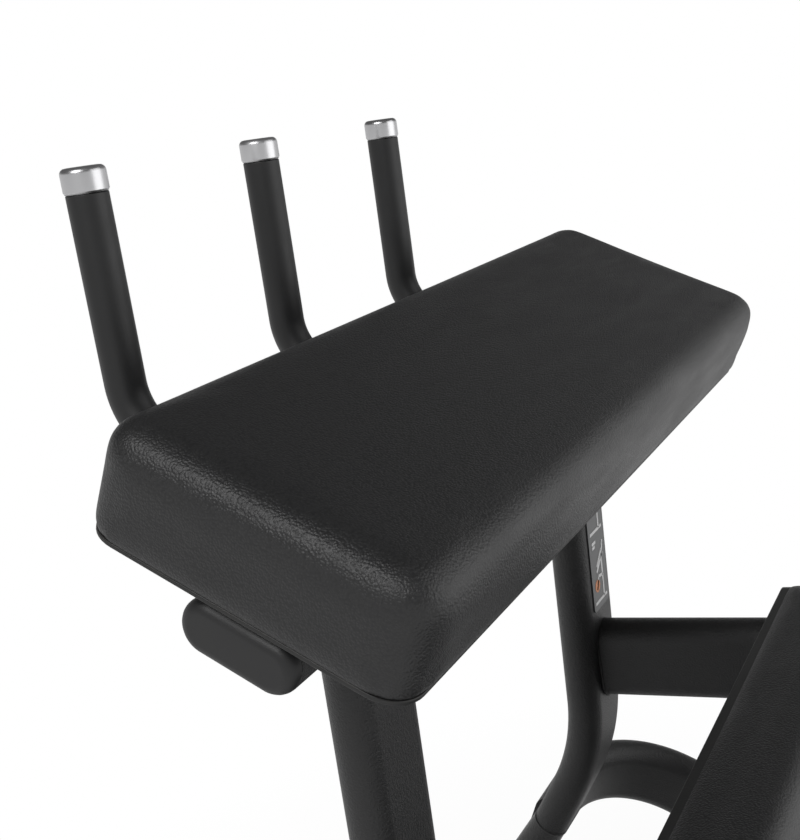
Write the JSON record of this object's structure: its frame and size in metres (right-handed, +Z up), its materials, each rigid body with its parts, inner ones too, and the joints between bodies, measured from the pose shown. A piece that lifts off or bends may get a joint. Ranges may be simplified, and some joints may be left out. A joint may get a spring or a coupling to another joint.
{
  "type": "standing hamstring machine",
  "caption": "Standing leg curl with a sloping belly pad, upright handles, a thigh pad and a plate-loaded lever with heel rollers.",
  "frame": {"origin": "on the floor, under the middle of the machine's bounding box", "axes": "+X along the belly pad to the user's right, +Y from the user towards the handles, +Z up"},
  "size_m": [1.076, 1.2548, 1.4037],
  "materials": {
    "frame_paint": "black powder coat with a fine grain",
    "black_plastic": "satin moulded",
    "black_rubber": "matte",
    "grip_rubber": "smooth",
    "chrome": "polished",
    "bright_steel": "turned",
    "black_vinyl": "vinyl over foam, fine leather grain",
    "board_paint": "plywood painted matt black",
    "roller_foam": "skinned foam",
    "placard": "printed plate"
  },
  "bodies": {
    "frame": {"left_post": "frame_paint", "right_post": "frame_paint", "left_base_tube": "frame_paint", "right_base_tube": "frame_paint", "front_cross_tube": "frame_paint", "middle_cross_tube": "frame_paint", "rear_cross_tube": "frame_paint", "front_spine": "frame_paint", "rear_spine": "frame_paint", "left_side_arm": "frame_paint", "right_side_arm": "frame_paint", "foot_platform": "frame_paint", "upper_cross_tube": "frame_paint", "belly_pad_mount": "frame_paint", "left_handle_bar": "frame_paint", "middle_handle_bar": "frame_paint", "right_handle_bar": "frame_paint", "left_thigh_tube": "frame_paint", "right_thigh_tube": "frame_paint", "left_pivot_plate": "frame_paint", "right_pivot_plate": "frame_paint", "left_upper_cap": "black_plastic", "right_upper_cap": "black_plastic", "left_front_cap": "black_plastic", "right_front_cap": "black_plastic", "left_side_arm_cap": "black_plastic", "right_side_arm_cap": "black_plastic", "left_front_foot": "black_rubber", "right_front_foot": "black_rubber", "left_rear_foot": "black_rubber", "right_rear_foot": "black_rubber", "platform_mat": "black_rubber", "left_stop_buffer": "black_rubber", "right_stop_buffer": "black_rubber", "left_handle_grip": "grip_rubber", "middle_handle_grip": "grip_rubber", "right_handle_grip": "grip_rubber", "left_handle_cap": "chrome", "middle_handle_cap": "chrome", "right_handle_cap": "chrome", "left_pivot_bearing": "bright_steel", "right_pivot_bearing": "bright_steel", "belly_pad_cushion": "black_vinyl", "thigh_pad_cushion": "black_vinyl", "belly_pad_board": "board_paint", "thigh_pad_board": "board_paint", "placard_plate": "placard"},
    "lever": {"left_lever_plate": "frame_paint", "right_lever_plate": "frame_paint", "left_knee_shaft": "bright_steel", "right_knee_shaft": "bright_steel", "lever_cross_tube": "frame_paint", "lever_sleeve": "frame_paint", "left_weight_horn": "chrome", "right_weight_horn": "chrome"},
    "lock": {"lock_knob": "black_plastic"},
    "carriage": {"roller_stem": "frame_paint", "roller_axle": "bright_steel"},
    "left_roller_body": {"left_roller": "roller_foam"},
    "right_roller_body": {"right_roller": "roller_foam"}
  },
  "joints": [
    {"name": "knee_hinge", "type": "hinge", "parent": "frame", "child": "lever", "pos_m": [0, -0.16538, 0.545], "axis": [-1, 0, 0], "range_deg": [0, 105]},
    {"name": "roller_height", "type": "slide", "parent": "lever", "child": "carriage", "axis": [0, 0, 1], "range_m": [0, 0.055]},
    {"name": "lock_turn", "type": "hinge", "parent": "lever", "child": "lock", "pos_m": [0, -0.30688, 0.279], "axis": [0, -1, 0], "range_deg": [0, 270]},
    {"name": "left_roller_spin", "type": "hinge", "parent": "carriage", "child": "left_roller_body", "pos_m": [0, -0.28188, 0.185], "axis": [1, 0, 0], "continuous": true},
    {"name": "right_roller_spin", "type": "hinge", "parent": "carriage", "child": "right_roller_body", "pos_m": [0, -0.28188, 0.185], "axis": [1, 0, 0], "continuous": true}
  ]
}
